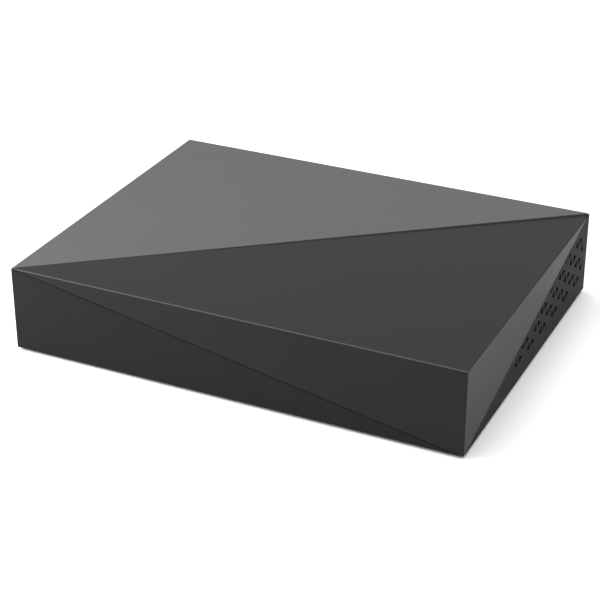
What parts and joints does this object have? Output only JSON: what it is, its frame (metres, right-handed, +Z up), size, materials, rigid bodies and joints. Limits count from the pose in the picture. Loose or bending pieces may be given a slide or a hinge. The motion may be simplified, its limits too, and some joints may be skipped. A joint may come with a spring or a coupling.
{
  "type": "dvr recorder",
  "caption": "Low faceted recorder box with a hard drive, main board, side fan and rear sockets that stores camera video.",
  "frame": {"origin": "on the surface that the feet stand on, below the centre of the outline that includes the rear sockets", "axes": "+X to the right seen from the front, +Y to the back where the sockets are, +Z up"},
  "size_m": [0.26, 0.21, 0.05],
  "materials": {
    "textured_plastic": "fine spark-eroded texture, charcoal",
    "gloss_facets": "semi-gloss moulded black",
    "trim_plastic": "satin, fine texture, grey",
    "painted_steel": "powder-coated black sheet steel",
    "rubber": "matte",
    "screw_steel": "zinc-plated",
    "circuit_board": "green solder mask",
    "chip_epoxy": "moulded epoxy",
    "thermal_pad": "soft silicone",
    "heat_sink_aluminium": "black anodised",
    "capacitor_can": "aluminium can, part sleeved",
    "ferrite": "matte ferrite",
    "black_nylon": "moulded black nylon",
    "white_nylon": "moulded natural nylon",
    "cell_steel": "bright stainless",
    "nickel_plate": "nickel plate",
    "white_insulator": "satin",
    "gold_contact": "gold flash",
    "audio_insert": "coloured plastic",
    "vga_insert": "blue plastic",
    "drive_casting": "die-cast, part machined",
    "drive_cover_steel": "stamped, satin",
    "disk_mirror": "polished",
    "machined_aluminium": "machined",
    "motor_steel": "laminated steel",
    "copper_winding": "varnished copper wire",
    "data_cable_jacket": "soft PVC",
    "wire_insulation": "soft PVC, coloured per wire",
    "trace_mask": "green solder mask over copper",
    "solder_tin": "tinned, bright",
    "print_ink": "white printed ink",
    "chip_ceramic": "fired ceramic",
    "label_film": "blank printed film",
    "lamp_lens": "clear tinted plastic"
  },
  "bodies": {
    "chassis": {"base_shell": "textured_plastic", "rear_panel": "painted_steel", "rubber_feet": "rubber", "cover_screws": "screw_steel", "main_board": "circuit_board", "board_screws": "screw_steel", "processor": "chip_epoxy", "thermal_pad": "thermal_pad", "heat_sink": "heat_sink_aluminium", "memory_chips": "chip_epoxy", "video_decoders": "chip_epoxy", "electrolytic_capacitors": "capacitor_can", "power_inductors": "ferrite", "coin_cell_holder": "black_nylon", "coin_cell": "cell_steel", "buzzer": "black_nylon", "bnc_housings": "black_nylon", "bnc_barrels": "nickel_plate", "bnc_insulators": "white_insulator", "bnc_contacts": "gold_contact", "audio_housing": "black_nylon", "audio_shells": "nickel_plate", "audio_inserts": "audio_insert", "vga_shell": "nickel_plate", "vga_insert": "vga_insert", "vga_jackscrews": "nickel_plate", "hdmi_shell": "nickel_plate", "network_socket": "black_nylon", "network_contacts": "gold_contact", "usb_shell": "nickel_plate", "socket_tongues": "black_nylon", "power_inlet": "black_nylon", "power_inlet_pin": "nickel_plate", "ground_screw": "screw_steel", "drive_base": "drive_casting", "drive_cover": "drive_cover_steel", "drive_cover_screws": "screw_steel", "drive_screws": "screw_steel", "spindle_stator": "motor_steel", "magnet_yokes": "motor_steel", "coil_magnets": "nickel_plate", "head_ramp": "white_insulator", "drive_board": "circuit_board", "drive_sata_socket": "black_nylon", "board_sata_socket": "black_nylon", "wire_headers": "white_nylon", "sata_data_plugs": "black_nylon", "sata_data_cable": "data_cable_jacket", "power_lead_plugs": "white_nylon", "power_lead_wires": "wire_insulation", "fan_lead": "wire_insulation", "fan_frame": "black_nylon"},
    "cover": {"top_cover": "gloss_facets", "top_trim_panel": "trim_plastic"},
    "fan_rotor": {"fan_rotor": "black_nylon"},
    "disk_stack": {"disk_platters": "disk_mirror", "spindle_hub": "machined_aluminium", "disk_clamp": "machined_aluminium"},
    "head_actuator": {"actuator_arm": "machined_aluminium", "voice_coil": "copper_winding"}
  },
  "joints": [
    {"name": "cover_lift", "type": "slide", "parent": "chassis", "child": "cover", "axis": [0, 0, 1], "range_m": [0, 0.08]},
    {"name": "fan_spin", "type": "hinge", "parent": "chassis", "child": "fan_rotor", "pos_m": [0.121, 0.06, 0.0241], "axis": [1, 0, 0], "continuous": true},
    {"name": "disk_spin", "type": "hinge", "parent": "chassis", "child": "disk_stack", "pos_m": [-0.057, -0.0462, 0.021], "axis": [0, 0, 1], "continuous": true},
    {"name": "head_swing", "type": "hinge", "parent": "chassis", "child": "head_actuator", "pos_m": [-0.002, -0.027, 0.021], "axis": [0, 0, 1], "range_deg": [-30, 0]}
  ]
}
